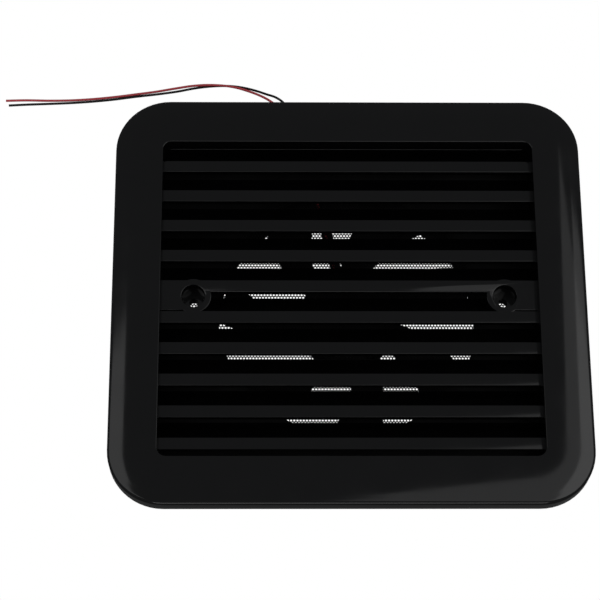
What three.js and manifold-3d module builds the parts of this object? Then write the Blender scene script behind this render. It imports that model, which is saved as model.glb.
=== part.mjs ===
// A wall vent with a powered fan. A louvre insert sits in a rounded bezel, a casing behind them fits
// the wall's cut-out, and an axial fan is screwed under the casing's plate, behind an insect screen.
// Millimetres, +Z out of the vent's face. The vent lies on the fan's rear face, at z = 0.
import * as THREE from "three";
import { mergeVertices } from "three/addons/utils/BufferGeometryUtils.js";
import Module from "manifold-3d";

const wasm = await Module();
wasm.setup();

// ---------------------------------------------------------------- driving sizes

const gap = 0.3; // clearance between pieces that touch on the real vent
const bite = 0.8; // how far shapes that make one piece run into each other

const faceWidth = 241;
const faceHeight = 218.4;
const faceCorner = 28;
const sideBorder = 24.7; // from the outer edge to the opening, left and right
const endBorder = 24.2; // the same, top and bottom
const openingCorner = 4.5;
const bezelDepth = 10.5; // from the wall to the face
const bezelWall = 2.4;
const bandFall = 2.1; // how far the outer band falls away from the flat inner band
const bandFlat = 10.5; // width of the flat inner band
const edgeRound = 2;
const innerRound = 0.5;
const skirtDepth = 10; // inner wall of the opening, from the face
const skirtWall = 2.2;

const slatPitch = 16.77;
const slatLip = 6.3; // height of a slat's front face
const slatWall = 1.6;
const lipReturn = 3.6; // a slat's lower edge turns back this far and sheds its drips
const slatRecess = 8.5; // slats below the face
const firstSlat = 7.2; // from the opening's top edge to the first slat
const bladeDepth = 14.7; // a slat from its front face to its rear lip
const bladeRise = 11.8;
const rearLip = 1.8;
const bladeDrop = 1.2; // the blade leaves the front face this far below its top
const railWall = 2;

const bossInset = 16.3; // from the opening's side to a fixing hole
const bossDrop = 8.6; // from the top of the slat above the middle to the fixing hole
const bossDiameter = 18.5;
const counterbore = 12;
const counterboreDepth = 10.5;
const fixingHole = 4.6;
const tabWall = 2.2;
const tabSlit = 0.5; // shadow line between a tab and the slat under it

const casingWall = 2.2;
const casingCorner = 6;
const casingRise = 2.6; // the casing's rim above the wall plane
const plateWall = 2;
const earWall = 2;
const earSize = 9;
const postDiameter = 7;
const casingScrewLength = 5.4;
const casingScrewRadius = 1.2;
const earInset = 25.5; // from the casing's side to the ears on its long walls
const earReach = 0.6; // an ear's screw stands this far beyond half an ear from the wall
const screwHeadHeight = 1.9;
const screwHeadRadius = 2.5;

const screenWall = 0.6;
const gasketWall = 1.5;
const gasketMargin = 0.5; // the foam stays this far back from the edges that it seals

const fanSize = 140;
const fanDepth = 25;
const fanCorner = 6;
const fanFlange = 4;
const fanHolePitch = 124.5;
const fanHole = 4.4;
const ductDiameter = 134.5;
const ductWall = 2.2;
const tipClearance = 1.3;
const strutCount = 4;
const strutWidth = 5.4;
const strutDepth = 3.4;
const leadStrut = THREE.MathUtils.degToRad(103); // the strut that carries the leads

const bladeCount = 7;
const bladeSpan = THREE.MathUtils.degToRad(26); // seen along the axis
const bladeSweep = THREE.MathUtils.degToRad(-20); // from hub to tip
const bladePhase = THREE.MathUtils.degToRad(24);
const bladeWall = 1.5;
const bladeBottom = 2.8; // above the fan's rear face
const bladeClearance = 4.6; // under the struts
const bladeCamber = 0.12; // share of the blade's height
const tipRise = 0.55; // the blade's height at its tip, as a share of that at its root
const hubRadius = 24.5;
const hubWall = 1.6;
const hubRound = 1.5;
const hubClearance = 0.8; // between the hub and the struts
const hubFloor = 1.2; // the impeller's closed end above the fan's rear face
const baseStep = 1; // the motor's fixed base is this much smaller than the hub
const shaftRadius = 1.5;
const bearingRadius = 4.2;
const bearingWidth = 4;
const tubeWall = 1.2;
const magnetWall = 2.4;
const yokeWall = 1.2;
const baseWall = 1.6;
const tubeRise = 5.8; // start of the bearing tube above the hub's floor
const tubeStep = 1; // the seats in the tube and over it
const channelReach = 3; // the leads' channel starts this far inside the base's edge
const labelWall = 0.3;
const labelMargin = 3;
const coreHeight = 8; // the stack of laminations
const coreRing = 2.4; // wall of the core round the bearing tube
const poleShoe = 2.6; // thickness of a pole's curved end
const poleHalfAngle = 0.62; // radians
const airGap = 0.8; // between the poles and the magnet
const neckHalf = 2.6;
const coilWall = 2.4; // thickness of the winding
const coilRound = 1.6;
const coilStart = 1.2; // from the core's ring to the winding
const boardWall = 1.2;
const boardRise = 0.5; // above the windings
const boardRadius = 18;
const hubBoss = 3.2; // radius of the boss that holds the shaft
const hubBossHeight = 4.2;
const springWire = 0.25;
const springRadius = 2.6;
const springTurns = 2;
const clipWall = 0.6;
const clipRadius = 3;
const clipRoom = 1.8; // above the upper bearing, for the clip and the shaft's end
const shaftGroove = 0.5;
const fanScrewRadius = 1.9;
const fanScrewHead = 3.7;
const fanScrewLength = 12.6;

const leadRadius = 0.65;
const leadSpacing = 1.7;

const roundSteps = 36;
const ductSteps = 56;
const cornerSteps = 5;

// ---------------------------------------------------------------- levels, from the floor up

const gasketBottom = fanDepth + gap;
const plateBottom = gasketBottom + gasketWall + gap;
const plateTop = plateBottom + plateWall;
const screenBottom = plateTop + gap;
const railBottom = screenBottom + screenWall + gap;
const slatFace = railBottom + bladeDepth;
const faceTop = slatFace + slatRecess;
const wallPlane = faceTop - bezelDepth;
const skirtBottom = faceTop - skirtDepth;
const railTop = skirtBottom - gap;
const skinUnder = faceTop - bezelWall;
const casingTop = wallPlane + casingRise;

const openingWidth = faceWidth - 2 * sideBorder;
const openingHeight = faceHeight - 2 * endBorder;
const insertHalfX = openingWidth / 2 + skirtWall; // outside of the insert's rails
const insertHalfY = openingHeight / 2 + skirtWall;
const casingHalfX = insertHalfX + gap + casingWall;
const casingHalfY = insertHalfY + gap + casingWall;
const slatCount = 1 + Math.floor((openingHeight - firstSlat - slatLip) / slatPitch);
const slatTop = (i) => openingHeight / 2 - firstSlat - i * slatPitch;
const bossSlat = Math.floor(slatCount / 2) - 1; // the slat whose top the tabs line up with
const bossX = openingWidth / 2 - bossInset;
const bossY = slatTop(bossSlat) - bossDrop;
const ductRadius = ductDiameter / 2;
const fanCorners = [[1, 1], [-1, 1], [-1, -1], [1, -1]].map(
  ([x, y]) => [(x * fanHolePitch) / 2, (y * fanHolePitch) / 2],
);

// ---------------------------------------------------------------- shapes

const asSolid = (geometry) => {
  const bare = geometry.clone();
  bare.deleteAttribute("normal");
  bare.deleteAttribute("uv");
  const merged = mergeVertices(bare, 1e-4);
  const vertProperties = merged.attributes.position.array;
  const triVerts = new Uint32Array(merged.index.array);
  return new wasm.Manifold(new wasm.Mesh({ numProp: 3, vertProperties, triVerts }));
};

const asGeometry = (solid) => {
  const { vertProperties, triVerts } = solid.getMesh();
  const geometry = new THREE.BufferGeometry();
  geometry.setAttribute("position", new THREE.BufferAttribute(vertProperties, 3));
  geometry.setIndex(new THREE.BufferAttribute(triVerts, 1));
  geometry.computeVertexNormals();
  return geometry;
};

const joined = (solids) => solids.reduce((all, next) => all.add(next));
const without = (solid, cuts) => cuts.reduce((left, cut) => left.subtract(cut), solid);

// A rounded rectangle about the middle, as a shape or as a hole in one.
function roundedOutline(halfX, halfY, radius, outline = new THREE.Shape()) {
  const corners = [[1, 1], [-1, 1], [-1, -1], [1, -1]];
  corners.forEach(([x, y], i) => {
    const start = (i * Math.PI) / 2;
    outline.absarc(x * (halfX - radius), y * (halfY - radius), radius, start, start + Math.PI / 2);
  });
  outline.closePath();
  return outline;
}

function prism(shape, bottom, top, curveSegments = cornerSteps) {
  const options = { depth: top - bottom, bevelEnabled: false, curveSegments };
  return new THREE.ExtrudeGeometry(shape, options).translate(0, 0, bottom);
}

function block(x0, x1, y0, y1, z0, z1) {
  const box = new THREE.BoxGeometry(x1 - x0, y1 - y0, z1 - z0);
  return box.translate((x0 + x1) / 2, (y0 + y1) / 2, (z0 + z1) / 2);
}

// A turned piece: its profile's points are [radius, height].
function turned(profile, steps = roundSteps) {
  const points = profile.map(([r, z]) => new THREE.Vector2(r, z));
  return new THREE.LatheGeometry(points, steps).rotateX(Math.PI / 2);
}

const rod = (radius, bottom, top, steps) =>
  turned([[0, bottom], [radius, bottom], [radius, top], [0, top]], steps);

const ring = (inner, outer, bottom, top, steps) =>
  turned([[inner, bottom], [outer, bottom], [outer, top], [inner, top], [inner, bottom]], steps);

// A round wire or lead along a curve, with a flat cut at each end.
function wire(curve, radius, steps, sides) {
  const section = new THREE.Shape();
  for (let i = 0; i < sides; i++) {
    const turn = (2 * Math.PI * i) / sides;
    const point = [radius * Math.cos(turn), radius * Math.sin(turn)];
    if (i) section.lineTo(...point);
    else section.moveTo(...point);
  }
  section.closePath();
  return new THREE.ExtrudeGeometry(section, { extrudePath: curve, steps, curveSegments: 1 });
}

// A frame whose section is carried round the face: each point of the section is
// [distance in from the outer edge, height], and the outline eases into the opening's.
function framed(section) {
  const positions = [];
  for (const [inset, z] of section) {
    const t = inset / sideBorder;
    const halfX = THREE.MathUtils.lerp(faceWidth, openingWidth, t) / 2;
    const halfY = THREE.MathUtils.lerp(faceHeight, openingHeight, t) / 2;
    const radius = THREE.MathUtils.lerp(faceCorner, openingCorner, t);
    for (let i = 0; i < 4; i++) {
      const [x, y] = [[1, 1], [-1, 1], [-1, -1], [1, -1]][i];
      for (let k = 0; k <= cornerSteps; k++) {
        const turn = ((i + k / cornerSteps) * Math.PI) / 2;
        positions.push(
          x * (halfX - radius) + radius * Math.cos(turn),
          y * (halfY - radius) + radius * Math.sin(turn),
          z,
        );
      }
    }
  }
  const around = 4 * (cornerSteps + 1);
  const index = [];
  for (let i = 0; i < section.length; i++) {
    const here = i * around;
    const next = ((i + 1) % section.length) * around;
    for (let k = 0; k < around; k++) {
      const after = (k + 1) % around;
      index.push(here + k, here + after, next + k, here + after, next + after, next + k);
    }
  }
  const geometry = new THREE.BufferGeometry();
  geometry.setAttribute("position", new THREE.Float32BufferAttribute(positions, 3));
  geometry.setIndex(index);
  geometry.computeVertexNormals();
  return geometry;
}

// ---------------------------------------------------------------- cover: bezel, louvres, screen

// Two screws stand off each long wall of the casing and one off each short wall.
const screwX = casingHalfX + earSize / 2 + earReach;
const screwY = casingHalfY + earSize / 2 + earReach;
const screwSpread = casingHalfX - earInset;
const casingScrews = [
  [screwSpread, screwY], [-screwSpread, screwY],
  [screwSpread, -screwY], [-screwSpread, -screwY],
  [screwX, 0], [-screwX, 0],
].map(([x, y]) => ({ x, y }));

function bezelFrame() {
  const slope = sideBorder - bandFlat;
  const band = (inset) => faceTop - bandFall * ((slope - inset) / slope) ** 2;
  const edge = band(edgeRound);
  const skirt = sideBorder - skirtWall;
  const section = [
    [0, wallPlane],
    [0, edge - edgeRound],
    [0.13 * edgeRound, edge - 0.5 * edgeRound],
    [0.5 * edgeRound, edge - 0.14 * edgeRound],
    [edgeRound, edge],
    [slope * 0.4, band(slope * 0.4)],
    [slope * 0.65, band(slope * 0.65)],
    [slope, faceTop],
    [sideBorder - innerRound, faceTop],
    [sideBorder, faceTop - innerRound],
    [sideBorder, skirtBottom],
    [skirt, skirtBottom],
    [skirt, skinUnder],
    [slope, skinUnder],
    [bezelWall + 1, band(bezelWall) - bezelWall - 0.6],
    [bezelWall, band(bezelWall) - bezelWall - 2],
    [bezelWall, wallPlane],
  ];
  const posts = casingScrews.map(({ x, y }) =>
    asSolid(rod(postDiameter / 2, casingTop + gap, skinUnder + bite, 16).translate(x, y, 0)),
  );
  const pilots = casingScrews.map(({ x, y }) => {
    const top = casingTop + gap + casingScrewLength - earWall;
    return asSolid(rod(casingScrewRadius + gap, casingTop, top, 12).translate(x, y, 0));
  });
  return asGeometry(without(joined([asSolid(framed(section)), ...posts]), pilots));
}

// One slat, seen along X: a front face that hangs down and turns back along its lower edge, a blade
// that climbs backwards to shed rain, and a small lip along its rear edge.
function slat(top) {
  const slope = (bladeRise - rearLip + bladeDrop) / (bladeDepth - 2 * slatWall);
  const under = slatWall * Math.hypot(1, slope); // the blade's wall, measured along Y
  const outline = [
    [0, 0],
    [-slatLip, 0],
    [-slatLip, -lipReturn],
    [slatWall - slatLip, -lipReturn],
    [slatWall - slatLip, -slatWall],
    [-bladeDrop - under, -slatWall],
    [-bladeDrop - under + slope * (bladeDepth - slatWall), -bladeDepth],
    [bladeRise, -bladeDepth],
    [bladeRise, slatWall - bladeDepth],
    [bladeRise - rearLip, slatWall - bladeDepth],
    [-bladeDrop, -slatWall],
    [0, -slatWall],
  ].map(([y, z]) => new THREE.Vector2(y, z));
  const length = 2 * insertHalfX;
  const options = { depth: length, bevelEnabled: false };
  const slatGeometry = new THREE.ExtrudeGeometry(new THREE.Shape(outline), options);
  const toRow = new THREE.Matrix4().makeBasis(
    new THREE.Vector3(0, 1, 0), new THREE.Vector3(0, 0, 1), new THREE.Vector3(1, 0, 0),
  );
  return slatGeometry.applyMatrix4(toRow).translate(-length / 2, top, slatFace);
}

function louvreGrille() {
  const rails = roundedOutline(insertHalfX, insertHalfY, openingCorner);
  const inside = roundedOutline(
    insertHalfX - railWall, insertHalfY - railWall, openingCorner / 2, new THREE.Path(),
  );
  rails.holes.push(inside);
  const halfX = openingWidth / 2 - gap;
  const halfY = openingHeight / 2 - gap;
  const room = joined([
    asSolid(prism(roundedOutline(insertHalfX, insertHalfY, openingCorner), railBottom, railTop)),
    asSolid(prism(roundedOutline(halfX, halfY, openingCorner - gap), railTop, slatFace)),
  ]);
  const slats = [];
  for (let i = 0; i < slatCount; i++) slats.push(asSolid(slat(slatTop(i))).intersect(room));
  const tabs = [-1, 1].flatMap((side) => {
    const end = side * halfX;
    const boss = side * bossX;
    const tabTop = slatTop(bossSlat);
    const tabBottom = slatTop(bossSlat + 1) + tabSlit;
    const tab = block(
      Math.min(end, boss), Math.max(end, boss), tabBottom, tabTop, slatFace - tabWall, slatFace,
    );
    return [
      asSolid(tab),
      asSolid(rod(bossDiameter / 2, railBottom, slatFace, 32).translate(boss, bossY, 0)),
    ];
  });
  const holes = [-1, 1].flatMap((side) => {
    const seat = slatFace - counterboreDepth;
    return [
      rod(counterbore / 2, seat, slatFace + 1, 28),
      rod(fixingHole / 2, railBottom - 1, seat + 1, 16),
    ].map((cutter) => asSolid(cutter.translate(side * bossX, bossY, 0)));
  });
  const body = joined([asSolid(prism(rails, railBottom, railTop)), ...slats, ...tabs]);
  return asGeometry(without(body, holes));
}

const insectScreen = () =>
  prism(
    roundedOutline(insertHalfX - gap, insertHalfY - gap, openingCorner),
    screenBottom, screenBottom + screenWall,
  );

// ---------------------------------------------------------------- casing and its screws

function ductCasing() {
  const inner = [casingHalfX - casingWall, casingHalfY - casingWall, casingCorner - casingWall];
  const tray = asSolid(
    prism(roundedOutline(casingHalfX, casingHalfY, casingCorner), plateBottom, casingTop),
  );
  const ears = casingScrews.map(({ x, y }) => {
    const half = earSize / 2;
    const reach = half + casingWall / 2 + earReach;
    const [ex, ey] = y === 0 ? [reach, half] : [half, reach];
    return asSolid(
      block(x - ex, x + ex, y - ey, y + ey, casingTop - earWall, casingTop),
    );
  });
  const pocket = asSolid(prism(roundedOutline(...inner), plateTop, casingTop + 1));
  const duct = asSolid(rod(ductRadius, plateBottom - 1, plateTop + 1, ductSteps));
  const earHoles = casingScrews.map(({ x, y }) =>
    asSolid(rod(casingScrewRadius + gap, plateBottom, casingTop + 1, 12).translate(x, y, 0)),
  );
  const fanHoles = fanCorners.map(([x, y]) => asSolid(fanScrew(gap, 1).translate(x, y, 0)));
  const bossHoles = [-1, 1].map((side) =>
    asSolid(rod(fixingHole / 2 + gap, plateBottom - 1, plateTop + 1, 16)
      .translate(side * bossX, bossY, 0)),
  );
  const cuts = [pocket, duct, ...earHoles, ...fanHoles, ...bossHoles];
  return asGeometry(without(joined([tray, ...ears]), cuts));
}

// A countersunk screw whose head is flush with the plate. A margin grows it into its own seat.
function fanScrew(margin = 0, over = 0) {
  const shank = fanScrewRadius + margin;
  const head = fanScrewHead + margin;
  const top = plateTop - 0.1 + over;
  const point = plateTop - fanScrewLength;
  return turned(
    [[0, point], [shank / 2, point], [shank, point + 1.5], [shank, plateBottom + 0.2],
      [head, top - over],
      ...(over ? [[head, top]] : []), [0, top]],
    16,
  );
}

// A pan-head screw, driven up from behind through an ear into a post.
function casingScrew() {
  const seat = casingTop - earWall - gap;
  const r = casingScrewRadius;
  return turned(
    [[0, seat - screwHeadHeight], [0.65 * screwHeadRadius, seat - screwHeadHeight],
      [screwHeadRadius, seat - 0.6 * screwHeadHeight], [screwHeadRadius, seat], [r, seat],
      [r, seat + casingScrewLength - 0.8], [r / 2, seat + casingScrewLength],
      [0, seat + casingScrewLength]],
    12,
  );
}

// ---------------------------------------------------------------- fan housing

const baseTop = fanDepth - labelWall - gap;
const baseBottom = baseTop - baseWall;
const tubeInner = bearingRadius + gap;
const tubeOuter = tubeInner + tubeWall;
const baseRadius = hubRadius - baseStep;
const tubeBottom = hubFloor + tubeRise;
const strutBottom = fanDepth - strutDepth;
const hubTop = strutBottom - hubClearance;

const alongStrut = (distance, aside, z) =>
  new THREE.Vector3(
    distance * Math.cos(leadStrut) + aside * Math.sin(leadStrut),
    distance * Math.sin(leadStrut) - aside * Math.cos(leadStrut),
    z,
  );

function gasket() {
  const half = fanSize / 2 - gasketMargin;
  const foam = roundedOutline(half, half, fanCorner);
  foam.holes.push(new THREE.Path().absarc(0, 0, ductRadius + gasketMargin, 0, 2 * Math.PI, true));
  for (const [x, y] of fanCorners) {
    const hole = fanHole / 2 + gasketMargin;
    foam.holes.push(new THREE.Path().absarc(x, y, hole, 0, 2 * Math.PI, true));
  }
  const options = { depth: gasketWall, bevelEnabled: false, curveSegments: 14 };
  return new THREE.ExtrudeGeometry(foam, options).translate(0, 0, gasketBottom);
}

function fanHousing() {
  const flange = roundedOutline(fanSize / 2, fanSize / 2, fanCorner);
  const outside = [
    asSolid(prism(flange, 0, fanFlange)),
    asSolid(prism(flange, fanDepth - fanFlange, fanDepth)),
    asSolid(rod(ductRadius + ductWall, 0, fanDepth, ductSteps)),
  ];
  const bore = asSolid(rod(ductRadius, -1, fanDepth + 1, ductSteps));
  const holes = fanCorners.map(([x, y]) =>
    asSolid(rod(fanHole / 2, -1, fanDepth + 1, 12).translate(x, y, 0)),
  );
  const motorBase = [
    asSolid(rod(baseRadius, baseBottom, baseTop, roundSteps)),
    asSolid(rod(tubeOuter, tubeBottom, baseBottom + bite, 24)),
  ];
  const bearingBore = asSolid(rod(tubeInner, tubeBottom - 1, baseBottom + gap, 24));
  const struts = [];
  for (let i = 0; i < strutCount; i++) {
    const turn = leadStrut + (2 * Math.PI * i) / strutCount;
    const bar = block(
      baseRadius - bite, ductRadius + bite, -strutWidth / 2, strutWidth / 2, strutBottom, fanDepth,
    );
    struts.push(asSolid(bar.rotateZ(turn)));
  }
  const channelHalf = leadSpacing / 2 + leadRadius + gap;
  const channel = asSolid(
    block(
      baseRadius - channelReach, fanSize, -channelHalf, channelHalf,
      fanDepth - 2 * leadRadius - 2 * gap, fanDepth + 1,
    ).rotateZ(leadStrut),
  );
  const frame = without(joined(outside), [bore, ...holes]);
  return asGeometry(without(joined([frame, ...motorBase, ...struts]), [bearingBore, channel]));
}

// ---------------------------------------------------------------- motor and rotor

const coreBottom = tubeBottom + 2 * tubeStep;
const coreTop = coreBottom + coreHeight;
const yokeBottom = hubFloor + hubWall + gap;
const yokeRadius = hubRadius - hubWall - gap;
const magnetRadius = yokeRadius - yokeWall - gap;
const poleRadius = magnetRadius - magnetWall - airGap;
const shaftBottom = hubFloor + hubWall - gap;
const neckInner = tubeOuter + gap + coreRing;
const neckOuter = poleRadius - poleShoe;

function statorCore() {
  const ringPart = asSolid(ring(tubeOuter + gap, neckInner, coreBottom, coreTop));
  const faces = asSolid(ring(neckOuter, poleRadius, coreBottom, coreTop));
  const poles = [];
  for (let i = 0; i < 4; i++) {
    const turn = (i * Math.PI) / 2;
    const wedge = new THREE.Shape();
    wedge.absarc(0, 0, poleRadius + 1, -poleHalfAngle, poleHalfAngle);
    wedge.lineTo(0, 0);
    wedge.closePath();
    const face = faces.intersect(asSolid(prism(wedge, coreBottom - 1, coreTop + 1).rotateZ(turn)));
    const neck = block(
      neckInner - bite, neckOuter + bite, -neckHalf, neckHalf, coreBottom, coreTop,
    );
    poles.push(face, asSolid(neck.rotateZ(turn)));
  }
  return asGeometry(joined([ringPart, ...poles]));
}

// A winding: a rounded loop of wire round one pole's neck.
function coil(i) {
  const half = neckHalf + gap;
  const mid = (coreBottom + coreTop) / 2;
  const tall = (coreTop - coreBottom) / 2 + gap;
  const loop = roundedOutline(tall + coilWall, half + coilWall, coilRound);
  loop.holes.push(roundedOutline(tall, half, gap, new THREE.Path()));
  const start = neckInner + coilStart;
  const end = Math.sqrt(neckOuter ** 2 - (half + coilWall) ** 2) - gap; // clear of the pole's face
  const wound = prism(loop, 0, end - start, 2);
  return wound.rotateY(Math.PI / 2).translate(start, 0, mid).rotateZ((i * Math.PI) / 2);
}

const boardBottom = coreTop + gap + coilWall + boardRise;
const circuitBoard = () =>
  ring(tubeOuter + gap, boardRadius, boardBottom, boardBottom + boardWall);

function impeller() {
  const hub = turned([
    [0, hubFloor], [hubRadius - hubRound, hubFloor], [hubRadius, hubFloor + hubRound],
    [hubRadius, hubTop],
    [hubRadius - hubWall, hubTop], [hubRadius - hubWall, hubFloor + hubWall],
    [hubBoss, hubFloor + hubWall], [hubBoss, hubFloor + hubBossHeight],
    [shaftRadius + gap, hubFloor + hubBossHeight],
    [shaftRadius + gap, shaftBottom - gap], [0, shaftBottom - gap],
  ]);
  const blades = [];
  for (let i = 0; i < bladeCount; i++) {
    blades.push(asSolid(fanBlade().rotateZ(bladePhase + (2 * Math.PI * i) / bladeCount)));
  }
  return asGeometry(joined([asSolid(hub), ...blades]));
}

// One blade: a thin cambered sheet that runs from the hub to the duct, steeper at its root.
function fanBlade() {
  const across = 6;
  const outwards = 4;
  const root = hubRadius - bite;
  const tip = ductRadius - tipClearance;
  const height = strutBottom - bladeClearance - bladeBottom;
  const positions = [];
  for (const side of [1, -1]) {
    for (let i = 0; i <= outwards; i++) {
      const t = i / outwards;
      const radius = THREE.MathUtils.lerp(root, tip, t);
      for (let k = 0; k <= across; k++) {
        const s = k / across;
        const turn = (s - 0.5) * bladeSpan + bladeSweep * (t - 0.5);
        const camber = bladeCamber * height * Math.sin(Math.PI * s);
        const lift = THREE.MathUtils.lerp(1, tipRise, t);
        const z = bladeBottom + height * (0.5 + (s - 0.5) * lift) - camber;
        positions.push(
          radius * Math.cos(turn), radius * Math.sin(turn), z + (side * bladeWall) / 2,
        );
      }
    }
  }
  const row = across + 1;
  const sheet = row * (outwards + 1);
  const index = [];
  const quad = (a, b, c, d) => index.push(a, b, c, a, c, d);
  for (let i = 0; i < outwards; i++) {
    for (let k = 0; k < across; k++) {
      const a = i * row + k;
      quad(a, a + row, a + row + 1, a + 1);
      quad(sheet + a, sheet + a + 1, sheet + a + row + 1, sheet + a + row);
    }
    const lead = i * row;
    const trail = lead + across;
    quad(lead, sheet + lead, sheet + lead + row, lead + row);
    quad(trail, trail + row, sheet + trail + row, sheet + trail);
  }
  for (let k = 0; k < across; k++) {
    const outer = outwards * row + k;
    quad(k, k + 1, sheet + k + 1, sheet + k);
    quad(outer, sheet + outer, sheet + outer + 1, outer + 1);
  }
  const geometry = new THREE.BufferGeometry();
  geometry.setAttribute("position", new THREE.Float32BufferAttribute(positions, 3));
  geometry.setIndex(index);
  return geometry;
}

const rotorYoke = () =>
  turned([
    [hubBoss + gap, yokeBottom], [yokeRadius, yokeBottom], [yokeRadius, hubTop - tubeStep],
    [yokeRadius - yokeWall, hubTop - tubeStep], [yokeRadius - yokeWall, yokeBottom + yokeWall],
    [hubBoss + gap, yokeBottom + yokeWall], [hubBoss + gap, yokeBottom],
  ]);

const ringMagnet = () =>
  ring(magnetRadius - magnetWall, magnetRadius, yokeBottom + yokeWall + gap, coreTop + tubeStep);

const lowerBearing = tubeBottom + tubeStep;
const upperBearing = baseBottom - clipRoom - bearingWidth;
const clipBottom = upperBearing + bearingWidth + gap;

const bearing = (bottom) =>
  ring(shaftRadius + gap, bearingRadius, bottom, bottom + bearingWidth, 20);

// The shaft has a groove near its end for the clip.
function rotorShaft() {
  const groove = clipBottom - 0.1;
  const grooveTop = clipBottom + clipWall + 0.1;
  const r = shaftRadius;
  return turned([
    [0, shaftBottom], [r, shaftBottom], [r, groove], [r - shaftGroove, groove],
    [r - shaftGroove, grooveTop], [r, grooveTop], [r, grooveTop + 0.5], [0, grooveTop + 0.5],
  ], 16);
}

// An open ring that snaps into the shaft's groove and keeps the rotor in its bearings.
function shaftClip() {
  const outline = new THREE.Shape();
  outline.absarc(0, 0, clipRadius, 0.5, 2 * Math.PI - 0.5);
  outline.absarc(0, 0, shaftRadius - shaftGroove + gap, 2 * Math.PI - 0.7, 0.7, true);
  outline.closePath();
  const options = { depth: clipWall, bevelEnabled: false, curveSegments: 8 };
  return new THREE.ExtrudeGeometry(outline, options).translate(0, 0, clipBottom);
}

// The small spring that pushes the rotor away from the lower bearing.
function preloadSpring() {
  const bottom = hubFloor + hubBossHeight + gap + springWire;
  const top = lowerBearing - gap - springWire;
  const points = 12 * springTurns;
  const around = [];
  for (let i = 0; i <= points; i++) {
    const turn = (2 * Math.PI * springTurns * i) / points;
    const z = THREE.MathUtils.lerp(bottom, top, i / points);
    around.push(new THREE.Vector3(springRadius * Math.cos(turn), springRadius * Math.sin(turn), z));
  }
  return wire(new THREE.CatmullRomCurve3(around), springWire, points, 6);
}

// ---------------------------------------------------------------- leads

// The fixed stretch of a lead, in the channel of its strut.
function strutLead(aside) {
  const z = fanDepth - leadRadius - gap;
  const end = fanSize / 2 / Math.sin(leadStrut);
  const path = new THREE.LineCurve3(
    alongStrut(baseRadius - channelReach + 2 * gap, aside, z), alongStrut(end, aside, z),
  );
  return wire(path, leadRadius, 1, 8);
}

// The free stretch of each lead: out of the housing, down to the surface that the vent lies on,
// out from under the bezel and away to its bare end.
const leadRoutes = {
  lead_red: [
    [-17.1, 70.4, 24.05], [-17.8, 73.6, 24.0], [-18.6, 77.5, 22.9], [-19.5, 81.4, 19.5],
    [-20.3, 85.0, 14.2], [-21.1, 88.5, 8.4], [-22.0, 92.3, 3.8], [-23.1, 97.0, 1.5],
    [-24.4, 102.5, 0.8], [-26.0, 109.5, 0.7], [-28.6, 117.5, 0.7], [-32.4, 125.4, 0.7],
    [-36.8, 131.6, 0.7], [-41.7, 135.6, 0.7], [-47.2, 138.6, 0.7], [-53.0, 140.8, 0.95],
    [-59.5, 142.4, 1.9], [-67.0, 143.5, 2.1], [-75.5, 143.8, 2.1], [-84.0, 143.2, 2.0],
    [-93.0, 141.9, 1.5], [-103.5, 140.3, 0.75], [-115.0, 138.6, 0.7], [-127.0, 136.9, 0.7],
    [-139.0, 135.6, 0.7], [-151.0, 134.8, 0.7], [-163.0, 134.6, 0.7], [-175.0, 134.8, 0.7],
    [-186.4, 134.5, 0.7],
  ],
  lead_black: [
    [-15.4, 70.8, 24.05], [-16.0, 73.9, 24.0], [-16.6, 77.9, 22.8], [-17.1, 81.9, 19.2],
    [-17.6, 85.5, 13.8], [-18.1, 89.0, 8.0], [-18.8, 92.8, 3.5], [-19.7, 97.4, 1.4],
    [-20.9, 103.0, 0.8], [-22.5, 110.5, 0.7], [-25.0, 118.9, 0.7], [-28.6, 127.0, 0.7],
    [-32.6, 133.2, 0.7], [-37.2, 136.9, 0.7], [-42.5, 138.9, 0.7], [-48.0, 140.9, 0.7],
    [-53.6, 142.5, 0.7], [-59.5, 143.6, 0.7], [-66.0, 144.0, 0.7], [-74.0, 143.6, 0.7],
    [-82.5, 142.4, 0.7], [-92.0, 140.4, 0.7], [-103.0, 138.7, 0.7], [-115.0, 137.15, 0.7],
    [-127.0, 135.4, 0.7], [-139.0, 134.1, 0.7], [-151.0, 133.2, 0.7], [-163.0, 132.65, 0.7],
    [-175.0, 132.15, 0.7], [-184.7, 131.6, 0.7],
  ],
};

function looseLead(route) {
  const points = route.map((point) => new THREE.Vector3(...point));
  const curve = new THREE.CatmullRomCurve3(points, false, "catmullrom");
  return wire(curve, leadRadius, 60, 8);
}

// ---------------------------------------------------------------- the vent

const vent = new THREE.Group();
vent.name = "fan_vent";

const finish = (color, roughness, metalness = 0) =>
  new THREE.MeshStandardMaterial({ color, roughness, metalness });
const glossBlack = finish(0x0c0c0d, 0.28);
const mouldedBlack = finish(0x101011, 0.5);
const screenBlack = finish(0x0a0a0b, 0.45);
const foamGrey = finish(0x2c2c2e, 0.95);
const zincSteel = finish(0xa8a9ab, 0.35, 1);
const bearingSteel = finish(0xc4c6c8, 0.25, 1);
const laminatedSteel = finish(0x6e7074, 0.5, 1);
const copper = finish(0xb5622d, 0.35, 1);
const boardGreen = finish(0x1c5a34, 0.5);
const magnetGrey = finish(0x2b2b2d, 0.7);
const labelBlack = finish(0x141415, 0.45);
const redSleeve = finish(0xb01620, 0.4);
const blackSleeve = finish(0x0e0e0e, 0.4);

function add(name, geometry, material, x = 0, y = 0) {
  const mesh = new THREE.Mesh(geometry, material);
  mesh.name = name;
  mesh.position.set(x, y, 0);
  vent.add(mesh);
}

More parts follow.
